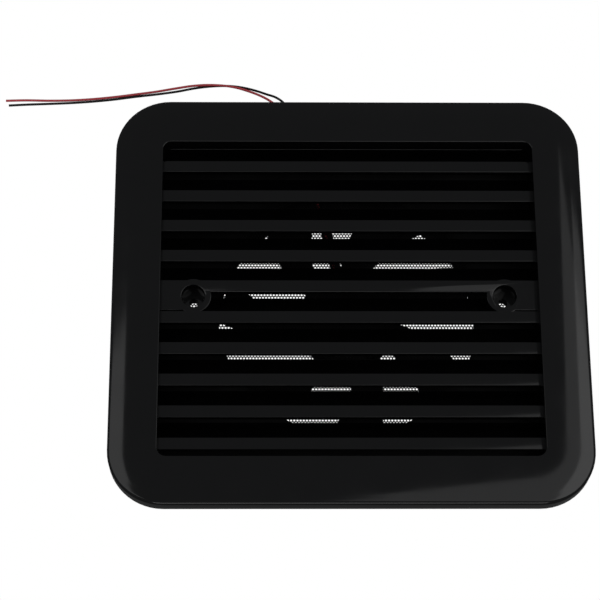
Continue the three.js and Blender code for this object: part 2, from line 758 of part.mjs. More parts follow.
add("bezel_frame", bezelFrame(), glossBlack);
add("louvre_grille", louvreGrille(), glossBlack);
add("insect_screen", insectScreen(), screenBlack);
add("duct_casing", ductCasing(), mouldedBlack);
casingScrews.forEach(({ x, y }, i) => {
  add(`casing_screw_${i + 1}`, casingScrew(), zincSteel, x, y);
});
add("fan_gasket", gasket(), foamGrey);
add("fan_housing", fanHousing(), mouldedBlack);
fanCorners.forEach(([x, y], i) => {
  add(`fan_screw_${i + 1}`, fanScrew(), zincSteel, x, y);
});
add("motor_label", rod(baseRadius - labelMargin, baseTop + gap, fanDepth), labelBlack);
add("stator_core", statorCore(), laminatedSteel);
for (let i = 0; i < 4; i++) add(`coil_${i + 1}`, coil(i), copper);
add("circuit_board", circuitBoard(), boardGreen);
add("bearing_lower", bearing(lowerBearing), bearingSteel);
add("bearing_upper", bearing(upperBearing), bearingSteel);
add("impeller", impeller(), mouldedBlack);
add("rotor_yoke", rotorYoke(), zincSteel);
add("ring_magnet", ringMagnet(), magnetGrey);
add("rotor_shaft", rotorShaft(), bearingSteel);
add("shaft_clip", shaftClip(), zincSteel);
add("preload_spring", preloadSpring(), zincSteel);
add("strut_lead_red", strutLead(-leadSpacing / 2), redSleeve);
add("strut_lead_black", strutLead(leadSpacing / 2), blackSleeve);
add("lead_red", looseLead(leadRoutes.lead_red), redSleeve);
add("lead_black", looseLead(leadRoutes.lead_black), blackSleeve);

export default vent;
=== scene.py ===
import math

import bmesh
import bpy
from mathutils import Matrix, Vector


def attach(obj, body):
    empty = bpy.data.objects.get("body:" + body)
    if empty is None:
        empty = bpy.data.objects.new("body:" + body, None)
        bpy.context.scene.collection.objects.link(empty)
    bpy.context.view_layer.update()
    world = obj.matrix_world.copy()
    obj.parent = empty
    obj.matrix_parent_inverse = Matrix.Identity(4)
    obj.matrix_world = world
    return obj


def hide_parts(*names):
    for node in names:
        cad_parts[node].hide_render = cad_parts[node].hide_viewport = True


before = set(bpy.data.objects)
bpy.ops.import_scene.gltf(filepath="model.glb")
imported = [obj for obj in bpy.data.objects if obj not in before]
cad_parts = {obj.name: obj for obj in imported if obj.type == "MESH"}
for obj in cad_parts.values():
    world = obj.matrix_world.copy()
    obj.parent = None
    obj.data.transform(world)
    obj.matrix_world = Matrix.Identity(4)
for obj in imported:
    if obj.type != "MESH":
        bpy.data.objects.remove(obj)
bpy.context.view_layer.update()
scene = bpy.context.scene
MM = 0.001

# ------------------------------------------------------------------ camera
# The vent lies on its back on a pale floor. The camera stands over its lower edge, a little to the
# left, and looks down on the face through a long lens.

look_at = Vector((-25.2, -3.4, 53.5)) * MM
look_distance = 1009.4 * MM
look_elevation = math.radians(69.07)
look_azimuth, look_roll = math.radians(-2.3), math.radians(2.2)

camera_data = bpy.data.cameras.new("camera")
camera_data.lens = 120
camera_data.sensor_width = 36
camera = bpy.data.objects.new("camera", camera_data)
camera.matrix_world = (
    Matrix.Translation(look_at)
    @ Matrix.Rotation(look_azimuth, 4, "Z")
    @ Matrix.Rotation(math.pi / 2 - look_elevation, 4, "X")
    @ Matrix.Rotation(look_roll, 4, "Z")
    @ Matrix.Translation((0, 0, look_distance))
)
scene.collection.objects.link(camera)
scene.camera = camera

# ------------------------------------------------------------------ leads
# Two thin stranded leads with soft PVC sleeves, red for the supply and black for the return. They
# leave the fan under the bezel, drop to the floor and lie loose, cut off bare at the far end.

lead_diameter = 1.3
lead_routes = {
    "lead_red": [
        (-17.1, 70.4, 24.05), (-17.8, 73.6, 24.0), (-18.6, 77.5, 22.9), (-19.5, 81.4, 19.5),
        (-20.3, 85.0, 14.2), (-21.1, 88.5, 8.4), (-22.0, 92.3, 3.8), (-23.1, 97.0, 1.5),
        (-24.4, 102.5, 0.8), (-26.0, 109.5, 0.7), (-28.6, 117.5, 0.7), (-32.4, 125.4, 0.7),
        (-36.8, 131.6, 0.7), (-41.7, 135.6, 0.7), (-47.2, 138.6, 0.7), (-53.0, 140.8, 0.95),
        (-59.5, 142.4, 1.9), (-67.0, 143.5, 2.1), (-75.5, 143.8, 2.1), (-84.0, 143.2, 2.0),
        (-93.0, 141.9, 1.5), (-103.5, 140.3, 0.75), (-115.0, 138.6, 0.7), (-127.0, 136.9, 0.7),
        (-139.0, 135.6, 0.7), (-151.0, 134.8, 0.7), (-163.0, 134.6, 0.7), (-175.0, 134.8, 0.7),
        (-186.4, 134.5, 0.7),
    ],
    "lead_black": [
        (-15.4, 70.8, 24.05), (-16.0, 73.9, 24.0), (-16.6, 77.9, 22.8), (-17.1, 81.9, 19.2),
        (-17.6, 85.5, 13.8), (-18.1, 89.0, 8.0), (-18.8, 92.8, 3.5), (-19.7, 97.4, 1.4),
        (-20.9, 103.0, 0.8), (-22.5, 110.5, 0.7), (-25.0, 118.9, 0.7), (-28.6, 127.0, 0.7),
        (-32.6, 133.2, 0.7), (-37.2, 136.9, 0.7), (-42.5, 138.9, 0.7), (-48.0, 140.9, 0.7),
        (-53.6, 142.5, 0.7), (-59.5, 143.6, 0.7), (-66.0, 144.0, 0.7), (-74.0, 143.6, 0.7),
        (-82.5, 142.4, 0.7), (-92.0, 140.4, 0.7), (-103.0, 138.7, 0.7), (-115.0, 137.15, 0.7),
        (-127.0, 135.4, 0.7), (-139.0, 134.1, 0.7), (-151.0, 133.2, 0.7), (-163.0, 132.65, 0.7),
        (-175.0, 132.15, 0.7), (-184.7, 131.6, 0.7),
    ],
}


def new_surface(name, inputs):
    """A surface's node group, which gives a colour, a roughness and a relief, and its end nodes."""
    tree = bpy.data.node_groups.new(name, "ShaderNodeTree")
    for label, kind, value in inputs:
        socket = tree.interface.new_socket(label, in_out="INPUT", socket_type=kind)
        socket.default_value = value
    for label, kind in (("Colour", "Color"), ("Roughness", "Float"), ("Normal", "Vector")):
        tree.interface.new_socket(label, in_out="OUTPUT", socket_type="NodeSocket" + kind)
    return tree, tree.nodes.new("NodeGroupInput"), tree.nodes.new("NodeGroupOutput")


def add_node(tree, kind, links=(), **settings):
    """A node with its settings and input values, and its inputs linked from other sockets."""
    node = tree.nodes.new(kind)
    for name, value in settings.items():
        if name in node.inputs:
            node.inputs[name].default_value = value
        else:
            setattr(node, name, value)
    for name, source in dict(links).items():
        tree.links.new(source, node.inputs[name])
    return node


def maths(tree, operation, *values, **settings):
    """The result of a math node on numbers and on other sockets."""
    node = add_node(tree, "ShaderNodeMath", operation=operation, **settings)
    for i, value in enumerate(values):
        if isinstance(value, (int, float)):
            node.inputs[i].default_value = value
        else:
            tree.links.new(value, node.inputs[i])
    return node.outputs[0]


def object_place(tree):
    """A point's place on its object."""
    return add_node(tree, "ShaderNodeTexCoord").outputs["Object"]


def noise(tree, place, scale, detail):
    """A cloudy value between 0 and 1."""
    return add_node(
        tree, "ShaderNodeTexNoise", {"Vector": place}, Scale=scale, Detail=detail
    ).outputs[0]


def stretched(tree, value, low, high, links=(), **settings):
    """A value's range from low to high, opened out to 0 and 1 or to other ends."""
    return add_node(
        tree, "ShaderNodeMapRange", {"Value": value, **dict(links)},
        **{"From Min": low, "From Max": high, **settings},
    ).outputs[0]


def mixed(tree, share, first, second):
    """The first colour turned into the second by a share of 0 to 1."""
    colour = add_node(tree, "ShaderNodeMix", {"Factor": share}, data_type="RGBA")
    tree.links.new(first, colour.inputs[6])
    tree.links.new(second, colour.inputs[7])
    return colour.outputs[2]


def end_surface(tree, made, colour, roughness, height, strength):
    """Ends a surface's group. The relief's strength is a number or another socket."""
    bump = add_node(tree, "ShaderNodeBump", {"Height": height}, Distance=0.0001)
    if isinstance(strength, float):
        bump.inputs["Strength"].default_value = strength
    else:
        tree.links.new(strength, bump.inputs["Strength"])
    tree.links.new(colour, made.inputs["Colour"])
    tree.links.new(roughness, made.inputs["Roughness"])
    tree.links.new(bump.outputs[0], made.inputs["Normal"])


def moulded_surface():
    """Plastic from a mould: a fine grain, a slightly uneven gloss, and a little pale dust."""
    tree, given, made = new_surface("moulded_surface", [
        ("Plastic", "NodeSocketColor", (0.01, 0.01, 0.01, 1)),
        ("Dust", "NodeSocketColor", (0.03, 0.03, 0.03, 1)),
        ("Dust Share", "NodeSocketFloat", 0.2),
        ("Gloss Low", "NodeSocketFloat", 0.3),
        ("Gloss High", "NodeSocketFloat", 0.4),
        ("Grain Scale", "NodeSocketFloat", 1500.0),
        ("Grain Height", "NodeSocketFloat", 0.1),
    ])
    place = object_place(tree)
    grain = add_node(
        tree, "ShaderNodeTexNoise",
        {"Vector": place, "Scale": given.outputs["Grain Scale"]}, Detail=2.0,
    ).outputs[0]
    cloud = noise(tree, place, 55.0, 5.0)
    specks = stretched(tree, noise(tree, place, 900.0, 2.0), 0.6, 0.78)
    dusty = maths(tree, "MULTIPLY_ADD", stretched(tree, cloud, 0.38, 0.72), 0.6, specks)
    share = maths(tree, "MULTIPLY", dusty, given.outputs["Dust Share"], use_clamp=True)
    colour = mixed(tree, share, given.outputs["Plastic"], given.outputs["Dust"])
    gloss = stretched(
        tree, cloud, 0.3, 0.7,
        {"To Min": given.outputs["Gloss Low"], "To Max": given.outputs["Gloss High"]},
    )
    end_surface(tree, made, colour, gloss, grain, given.outputs["Grain Height"])
    return tree


def new_material(name, surface, values, metallic=0.0, coat=0.0):
    """A material whose colour, gloss and relief come from a surface group."""
    material = bpy.data.materials.new(name)
    material.use_nodes = True
    tree = material.node_tree
    shader = tree.nodes["Principled BSDF"]
    group = tree.nodes.new("ShaderNodeGroup")
    group.name = "surface"
    group.node_tree = surface
    for label, value in values.items():
        group.inputs[label].default_value = value
    tree.links.new(group.outputs["Colour"], shader.inputs["Base Color"])
    tree.links.new(group.outputs["Roughness"], shader.inputs["Roughness"])
    tree.links.new(group.outputs["Normal"], shader.inputs["Normal"])
    shader.inputs["Metallic"].default_value = metallic
    shader.inputs["Coat Weight"].default_value = coat
    return material


def smooth_route(points, steps=6):
    """The points, joined by one smooth curve that passes through each of them."""
    points = [Vector(p) for p in points]
    points = [2 * points[0] - points[1], *points, 2 * points[-1] - points[-2]]
    route = []
    for a, b, c, d in zip(points, points[1:], points[2:], points[3:]):
        for i in range(steps):
            t = i / steps
            route.append(
                b + (c - a) * (t / 2) + (2 * a - 5 * b + 4 * c - d) * (t * t / 2)
                + (3 * b - a - 3 * c + d) * (t**3 / 2)
            )
    route.append(points[-2])
    return [p * MM for p in route]


moulded = moulded_surface()
sleeve_finishes = {
    "lead_red": new_material("red_sleeve", moulded, {
        "Plastic": (0.84, 0.1, 0.12, 1), "Dust": (0.84, 0.26, 0.25, 1), "Dust Share": 0.15,
        "Gloss Low": 0.28, "Gloss High": 0.42, "Grain Scale": 900.0, "Grain Height": 0.15,
    }),
    "lead_black": new_material("black_sleeve", moulded, {
        "Plastic": (0.004, 0.004, 0.0045, 1), "Dust": (0.02, 0.02, 0.02, 1), "Dust Share": 0.15,
        "Gloss Low": 0.28, "Gloss High": 0.42, "Grain Scale": 900.0, "Grain Height": 0.15,
    }),
}

for name, points in lead_routes.items():
    route = smooth_route(points)
    curve = bpy.data.curves.new(name + "_sleeve", "CURVE")
    curve.dimensions = "3D"
    curve.bevel_depth = lead_diameter / 2 * MM
    curve.bevel_resolution = 4
    curve.use_fill_caps = True
    spline = curve.splines.new("POLY")
    spline.points.add(len(route) - 1)
    for point, place in zip(spline.points, route):
        point.co = (*place, 1)
    curve.materials.append(sleeve_finishes[name])
    lead = bpy.data.objects.new(name + "_sleeve", curve)
    scene.collection.objects.link(lead)
    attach(lead, "housing")
    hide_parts(name)

# ------------------------------------------------------------------ floor and light
# A pale table that reads as plain white, in a dim even room. Large soft lamps on each side are
# mirrored along the bezel's falling edges, and a small one fills from the front.

room_level = 0.17
table_bounce = 0.25


def seen_white(tree, other, output):
    """Makes a surface or a sky plain white to the camera, and leaves other light as it is."""
    white = add_node(tree, "ShaderNodeEmission", Color=(1, 1, 1, 1), Strength=1.0)
    path = add_node(tree, "ShaderNodeLightPath")
    choice = add_node(tree, "ShaderNodeMixShader", {"Fac": path.outputs["Is Camera Ray"]})
    tree.links.new(other, choice.inputs[1])
    tree.links.new(white.outputs[0], choice.inputs[2])
    tree.links.new(choice.outputs[0], output)


floor_mesh = bpy.data.meshes.new("floor")
floor_mesh.from_pydata([(-6, -6, 0), (6, -6, 0), (6, 6, 0), (-6, 6, 0)], [], [(0, 1, 2, 3)])
floor_finish = bpy.data.materials.new("pale_floor")
floor_finish.use_nodes = True
tree = floor_finish.node_tree
table = tree.nodes["Principled BSDF"]
table.inputs["Base Color"].default_value = (table_bounce,) * 3 + (1,)
table.inputs["Roughness"].default_value = 0.9
table.inputs["Specular IOR Level"].default_value = 0.0
seen_white(tree, table.outputs[0], tree.nodes["Material Output"].inputs["Surface"])
floor_mesh.materials.append(floor_finish)
floor = bpy.data.objects.new("floor", floor_mesh)
scene.collection.objects.link(floor)

room = bpy.data.worlds.new("room")
scene.world = room
room.use_nodes = True
tree = room.node_tree
air = tree.nodes["Background"]
air.inputs["Color"].default_value = (0.95, 0.97, 1.0, 1)
air.inputs["Strength"].default_value = room_level
seen_white(tree, air.outputs[0], tree.nodes["World Output"].inputs["Surface"])
scene.view_settings.view_transform = "Standard"


def add_lamp(name, place, size, brightness, turn=0.0, aim=None):
    """A soft rectangular lamp of an even brightness. It faces straight down, or a point."""
    lamp = bpy.data.lights.new(name, "AREA")
    lamp.shape = "RECTANGLE"
    lamp.size, lamp.size_y = size
    lamp.energy = brightness * math.pi * size[0] * size[1]
    holder = bpy.data.objects.new(name, lamp)
    holder.location = place
    holder.rotation_euler = (0, 0, math.radians(turn))
    if aim:
        holder.rotation_euler = (Vector(aim) - Vector(place)).to_track_quat("-Z", "Y").to_euler()
    scene.collection.objects.link(holder)


add_lamp("lamp_right", (0.56, -0.08, 0.9), (0.80, 0.90), 0.46, turn=-24)
add_lamp("lamp_right_far", (0.86, -0.12, 0.88), (0.90, 0.95), 0.7, turn=-20)
add_lamp("lamp_left", (-0.86, -0.12, 0.9), (0.90, 0.88), 0.75)
add_lamp("lamp_front", (0.0, -1.3, 0.55), (0.9, 0.4), 1.6, aim=(0, 0, 0))

# ------------------------------------------------------------------ bezel
# The cover's outer frame, one injection moulding in glossy black ABS: a flat inner band, an outer
# band that falls away to a rounded edge, and a skirt round the opening. Six posts take screws.

face_size = (241.0, 218.4)
opening_size = (191.6, 170.0)
border = 24.7
face_corner, opening_corner = 28.0, 4.5
wall_plane, face_top, skirt_bottom = 43.0, 53.5, 43.5
band_flat, band_fall = 10.5, 2.1
edge_round, opening_round = 2.0, 0.6
bezel_wall, skirt_wall = 2.4, 2.2
casing_top, gap = 45.6, 0.3
post_radius, post_bore, post_bore_top = 3.5, 1.4, 49.6
casing_screws = [(75, 94.8), (-75, 94.8), (75, -94.8), (-75, -94.8), (105.6, 0), (-105.6, 0)]


def rounded_outline(half_x, half_y, radius, steps):
    """A rounded rectangle about the middle, anticlockwise."""
    points = []
    for i, (x, y) in enumerate([(1, 1), (-1, 1), (-1, -1), (1, -1)]):
        for k in range(steps + 1):
            turn = (i + k / steps) * math.pi / 2
            points.append((
                x * (half_x - radius) + radius * math.cos(turn),
                y * (half_y - radius) + radius * math.sin(turn),
            ))
    return points


def loft(bm, rings, closed=False):
    """A skin over rings of equal count. It ends in flat caps, or closes on itself."""
    rings = [[bm.verts.new(point) for point in ring] for ring in rings]
    pairs = list(zip(rings, rings[1:]))
    if closed:
        pairs.append((rings[-1], rings[0]))
    else:
        bm.faces.new(reversed(rings[0]))
        bm.faces.new(rings[-1])
    for lower, upper in pairs:
        for k in range(len(lower)):
            after = (k + 1) % len(lower)
            bm.faces.new((lower[k], lower[after], upper[after], upper[k]))


def turned(bm, profile, steps=48, centre=(0, 0)):
    """A turned shell: its profile's points are radius and height, from one cap to the other."""
    loft(bm, [
        [
            (centre[0] + r * math.cos(2 * math.pi * k / steps),
             centre[1] + r * math.sin(2 * math.pi * k / steps), z)
            for k in range(steps)
        ]
        for r, z in profile
    ])


def finished(bm):
    """The mesh of a bmesh, its faces turned outwards."""
    bmesh.ops.recalc_face_normals(bm, faces=bm.faces)
    mesh = bpy.data.meshes.new("part")
    bm.to_mesh(mesh)
    bm.free()
    return mesh


def add_piece(name, mesh, material, replaces=(), body="housing", sharp=35):
    """A finished piece of the vent. Its mesh comes in millimetres, in its own place."""
    mesh.name = name
    mesh.transform(Matrix.Scale(MM, 4))
    mesh.materials.clear()
    mesh.materials.append(material)
    mesh.shade_smooth()
    mesh.set_sharp_from_angle(angle=math.radians(sharp))
    piece = bpy.data.objects.new(name, mesh)
    scene.collection.objects.link(piece)
    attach(piece, body)
    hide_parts(*replaces)
    return piece


def arc(centre, radius, start, end, steps):
    """Points on an arc, its angles in degrees."""
    turns = [math.radians(start + (end - start) * k / steps) for k in range(steps + 1)]
    return [(centre[0] + radius * math.cos(t), centre[1] + radius * math.sin(t)) for t in turns]


def band_height(inset):
    slope = border - band_flat
    return face_top - band_fall * (max(slope - inset, 0) / slope) ** 2


def bezel_section():
    """The bezel's section as [distance in from the outer edge, height]."""
    edge = band_height(edge_round)
    section = [(0, wall_plane)]
    section += [
        (inset, z) for inset, z in arc((edge_round, edge - edge_round), edge_round, 180, 100, 7)
    ]
    section += [(inset, band_height(inset)) for inset in (3, 4.5, 6, 7.5, 9, 10.5, 12, 13.4, 14.7)]
    section += arc(
        (border - opening_round, face_top - opening_round), opening_round, 90, 0, 5
    )
    under = face_top - bezel_wall
    section += [
        (border, skirt_bottom + 0.3), (border - 0.3, skirt_bottom),
        (border - skirt_wall, skirt_bottom), (border - skirt_wall, under - 0.8),
        (border - skirt_wall - 0.8, under), (border - band_flat, under),
        (bezel_wall + 1, band_height(bezel_wall) - bezel_wall - 0.6),
        (bezel_wall, band_height(bezel_wall) - bezel_wall - 2), (bezel_wall, wall_plane),
    ]
    return section


def bezel_ring(inset, z):
    share = inset / border
    half_x = (face_size[0] + (opening_size[0] - face_size[0]) * share) / 2
    half_y = (face_size[1] + (opening_size[1] - face_size[1]) * share) / 2
    radius = face_corner + (opening_corner - face_corner) * share
    return [(x, y, z) for x, y in rounded_outline(half_x, half_y, radius, 14)]


gloss_black = new_material("gloss_black", moulded, {
    "Plastic": (0.0022, 0.0022, 0.0024, 1), "Dust": (0.012, 0.012, 0.013, 1),
    "Dust Share": 0.08, "Gloss Low": 0.07, "Gloss High": 0.13, "Grain Scale": 1800.0,
    "Grain Height": 0.03,
})

bm = bmesh.new()
loft(bm, [bezel_ring(inset, z) for inset, z in bezel_section()], closed=True)
for place in casing_screws:
    turned(
        bm,
        [(post_bore, post_bore_top), (post_bore, casing_top + gap),
         (post_radius - 0.3, casing_top + gap), (post_radius, casing_top + gap + 0.3),
         (post_radius, face_top - bezel_wall + 0.4)],
        24, place,
    )
add_piece("bezel", finished(bm), gloss_black, ["bezel_frame"])

# ------------------------------------------------------------------ louvres
# The fixed insert, a second moulding of the same ABS: two rails, ten slats that climb backwards
# to shed rain, and a boss at each side whose deep counterbore takes a fixing screw.

slat_count, slat_pitch = 10, 16.77
slat_lip, slat_wall, lip_return = 6.3, 1.6, 3.6
slat_face, rail_top, rail_bottom = 45.0, 43.2, 30.3
first_slat = 77.8
slat_half = 96.4
blade_rise, rear_lip, blade_drop = 11.8, 1.8, 1.2
insert_half = (98.0, 87.2)
rail_wall = 2.0
boss_place = (79.5, 2.12)
boss_radius, counterbore_radius, hole_radius = 9.25, 6.0, 2.3
seat_height = 34.5
tab_slat, tab_wall, tab_slit = 4, 2.2, 0.5  # the tabs' slat is counted from 0


def rounded_corners(points, radius, steps=3):
    """A closed outline with each corner rounded off."""
    outline = []
    for i, point in enumerate(points):
        before, here = Vector(points[i - 1]), Vector(point)
        after = Vector(points[(i + 1) % len(points)])
        back = (before - here).normalized() * min(radius, (before - here).length * 0.45)
        ahead = (after - here).normalized() * min(radius, (after - here).length * 0.45)
        for k in range(steps + 1):
            t = k / steps
            outline.append(tuple(here + back * (1 - t) ** 2 + ahead * t**2))
    return outline


def lofted(rings, closed=False):
    """The mesh of one loft."""
    bm = bmesh.new()
    loft(bm, rings, closed)
    return finished(bm)


def turned_mesh(profile, steps=48, centre=(0, 0)):
    """The mesh of one turned shell."""
    bm = bmesh.new()
    turned(bm, profile, steps, centre)
    return finished(bm)


def slat_outline():
    """A slat's section: [distance above its top edge, height below the face]."""
    depth = slat_face - rail_bottom
    slope = (blade_rise - rear_lip + blade_drop) / (depth - 2 * slat_wall)
    under = slat_wall * math.hypot(1, slope)
    return rounded_corners([
        (0, 0), (-slat_lip, 0), (-slat_lip, -lip_return), (slat_wall - slat_lip, -lip_return),
        (slat_wall - slat_lip, -slat_wall), (-blade_drop - under, -slat_wall),
        (-blade_drop - under + slope * (depth - slat_wall), -depth), (blade_rise, -depth),
        (blade_rise, slat_wall - depth), (blade_rise - rear_lip, slat_wall - depth),
        (-blade_drop, -slat_wall), (0, -slat_wall),
    ], 0.4)


def geometry_tree(name, inputs):
    """A geometry node tree with named inputs and one geometry output, and its two end nodes."""
    tree = bpy.data.node_groups.new(name, "GeometryNodeTree")
    for label, kind, value in inputs:
        socket = tree.interface.new_socket(label, in_out="INPUT", socket_type=kind)
        if value is not None:
            socket.default_value = value
    tree.interface.new_socket("Geometry", in_out="OUTPUT", socket_type="NodeSocketGeometry")
    return tree, tree.nodes.new("NodeGroupInput"), tree.nodes.new("NodeGroupOutput")


def end_tree(tree, given, made, instances):
    """Ends a tree as every tree here ends: real geometry, with its material."""
    real = add_node(tree, "GeometryNodeRealizeInstances", {"Geometry": instances})
    painted = add_node(
        tree, "GeometryNodeSetMaterial",
        {"Geometry": real.outputs[0], "Material": given.outputs["Material"]},
    )
    tree.links.new(painted.outputs[0], made.inputs["Geometry"])


def copied(tree, points, shape, **links):
    """Copies of an object, one at each point."""
    copy = add_node(tree, "GeometryNodeObjectInfo", {"Object": shape})
    return add_node(
        tree, "GeometryNodeInstanceOnPoints",
        {"Points": points, "Instance": copy.outputs["Geometry"], **links},
    ).outputs[0]


def temporary(mesh):
    """An object that is only there while another one is made from it."""
    holder = bpy.data.objects.new("temporary", mesh)
    scene.collection.objects.link(holder)
    return holder


def evaluated_mesh(holder):
    """The plain mesh that an object's modifiers make."""
    state = bpy.context.evaluated_depsgraph_get()
    mesh = bpy.data.meshes.new_from_object(holder.evaluated_get(state), depsgraph=state)
    holder.modifiers.clear()
    return mesh


def grown(tree, values, start=None):
    """Runs a tree with these input values and returns the mesh it makes."""
    holder = temporary(start or bpy.data.meshes.new("start"))
    modifier = holder.modifiers.new("grow", "NODES")
    modifier.node_group = tree
    for item in tree.interface.items_tree:
        if item.in_out == "INPUT" and item.name in values:
            modifier[item.identifier] = values[item.name]
    mesh = evaluated_mesh(holder)
    bpy.data.objects.remove(holder)
    return mesh


def merged(mesh, additions, cuts):
    """One solid from a mesh, the solids added to it, and the solids cut out of it."""
    base = temporary(mesh)
    tools = []
    for operation, others in (("UNION", additions), ("DIFFERENCE", cuts)):
        for other in others:
            tool = temporary(other)
            modifier = base.modifiers.new("join", "BOOLEAN")
            modifier.operation, modifier.object = operation, tool
            modifier.solver = "MANIFOLD"
            tools.append(tool)
    result = evaluated_mesh(base)
    for holder in [base, *tools]:
        bpy.data.objects.remove(holder)
    return result


def louvre_rows():
    """Rows of one slat, each a pitch below the last."""
    tree, given, made = geometry_tree("louvre_rows", [
        ("Slat", "NodeSocketObject", None),
        ("Count", "NodeSocketInt", 10),
        ("First", "NodeSocketFloat", 0.0),
        ("Pitch", "NodeSocketFloat", 10.0),
        ("Material", "NodeSocketMaterial", None),
    ])
    start = add_node(tree, "ShaderNodeCombineXYZ", {"Y": given.outputs["First"]})
    down = maths(tree, "MULTIPLY", given.outputs["Pitch"], -1.0)
    step = add_node(tree, "ShaderNodeCombineXYZ", {"Y": down})
    rows = add_node(
        tree, "GeometryNodeMeshLine",
        {"Count": given.outputs["Count"], "Start Location": start.outputs[0],
         "Offset": step.outputs[0]},
    )
    end_tree(tree, given, made, copied(tree, rows.outputs[0], given.outputs["Slat"]))
    return tree


one_slat = temporary(lofted(
    [[(x, y, slat_face + z) for y, z in slat_outline()] for x in (-slat_half, slat_half)]
))
slats = grown(louvre_rows(), {
    "Slat": one_slat, "Count": slat_count, "First": first_slat, "Pitch": slat_pitch,
    "Material": gloss_black,
})
bpy.data.objects.remove(one_slat)

# The top slat's blade stops inside the rail.
bm = bmesh.new()
bm.from_mesh(slats)
bmesh.ops.bisect_plane(
    bm, geom=[*bm.verts, *bm.edges, *bm.faces], plane_co=(0, insert_half[1] - 0.5, 0),
    plane_no=(0, 1, 0), clear_outer=True,
)
bmesh.ops.holes_fill(bm, edges=[e for e in bm.edges if e.is_boundary], sides=0)
slats = finished(bm)


def ring_plate(outer, inner, bottom, top, edge, steps=8):
    """A flat rounded-rectangle ring, each outline given as half width, half height, radius."""
    sides = (
        (outer, -1, (0, bottom + edge)), (outer, -1, (edge, bottom)),
        (inner, 1, (edge, bottom)), (inner, 1, (0, bottom + edge)),
        (inner, 1, (0, top - edge)), (inner, 1, (edge, top)),
        (outer, -1, (edge, top)), (outer, -1, (0, top - edge)),
    )
    return lofted([
        [(*p, z) for p in rounded_outline(x + way * inset, y + way * inset, radius, steps)]
        for (x, y, radius), way, (inset, z) in sides
    ], closed=True)


rails = ring_plate(
    (*insert_half, opening_corner),
    (insert_half[0] - rail_wall, insert_half[1] - rail_wall, opening_corner / 2),
    rail_bottom, rail_top, 0.06,
)
tab_top = first_slat - tab_slat * slat_pitch
tab_bottom = tab_top - slat_pitch + tab_slit
tab_outline = rounded_corners(
    [(tab_top, slat_face), (tab_bottom, slat_face), (tab_bottom, slat_face - tab_wall),
     (tab_top, slat_face - tab_wall)], 0.3,
)
additions, cuts = [rails], []
for side in (-1, 1):
    boss = (side * boss_place[0], boss_place[1])
    additions.append(turned_mesh(
        [(boss_radius, rail_bottom), (boss_radius, slat_face - 0.35),
         (boss_radius - 0.1, slat_face - 0.1), (boss_radius - 0.35, slat_face)],
        72, boss,
    ))
    ends = sorted((side * (slat_half - 0.1), boss[0]))
    additions.append(lofted([[(x, y, z) for y, z in tab_outline] for x in ends]))
    cuts.append(turned_mesh(
        [(hole_radius, rail_bottom - 1), (hole_radius, seat_height),
         (counterbore_radius, seat_height), (counterbore_radius, slat_face - 0.4),
         (counterbore_radius + 0.12, slat_face - 0.12), (counterbore_radius + 0.4, slat_face),
         (counterbore_radius + 0.4, slat_face + 1)],
        72, boss,
    ))
add_piece(
    "louvres", merged(slats, additions, cuts), gloss_black, ["louvre_grille"]
)

# ------------------------------------------------------------------ insect screen
# A thin black sheet etched with six-sided holes, laid behind the louvres. It is open over the
# fan's duct and at the two fixing holes, and plain round its edge.

hole_pitch, hole_flats = 1.6, 1.06
screen_bottom, screen_top = 29.4, 30.0
mesh_wall = 0.4
mesh_radius, patch_radius = 69.0, 3.6
rim_bore, rim_hole = 68.2, 2.8


def slab(x0, x1, half_y, corner, bottom, top, edge, turn=0.0):
    """A flat bar or plate with rounded corners and softened edges, turned about the axis."""
    mesh = lofted([
        [
            ((x0 + x1) / 2 + x, y, z)
            for x, y in rounded_outline((x1 - x0) / 2 - inset, half_y - inset, corner, 8)
        ]
        for inset, z in ((edge, bottom), (0, bottom + edge), (0, top - edge), (edge, top))
    ])
    mesh.transform(Matrix.Rotation(turn, 4, "Z"))
    return mesh


def screen_unit():
    """The webs that belong to one hole: three bars and the two corners between them."""
    web = hole_pitch - hole_flats
    side = hole_flats / math.sqrt(3)
    bm = bmesh.new()
    for turn in (0, 60, 120):
        along = Vector((math.cos(math.radians(turn)), math.sin(math.radians(turn)), 0))
        across = Vector((-along.y, along.x, 0))
        corners = [(-1, -1), (1, -1), (1, 1), (-1, 1)]
        bm.faces.new([
            bm.verts.new(along * (hole_pitch + a * web) / 2 + across * b * side / 2)
            for a, b in corners
        ])
    for turn, points in ((30, (210, 330, 90)), (90, (270, 30, 150))):
        middle = Vector((math.cos(math.radians(turn)), math.sin(math.radians(turn)), 0))
        middle *= hole_pitch / math.sqrt(3)
        bm.faces.new([
            bm.verts.new(
                middle + web / math.sqrt(3)
                * Vector((math.cos(math.radians(p)), math.sin(math.radians(p)), 0))
            )
            for p in points
        ])
    mesh = bpy.data.meshes.new("unit")
    bm.to_mesh(mesh)
    bm.free()
    return mesh


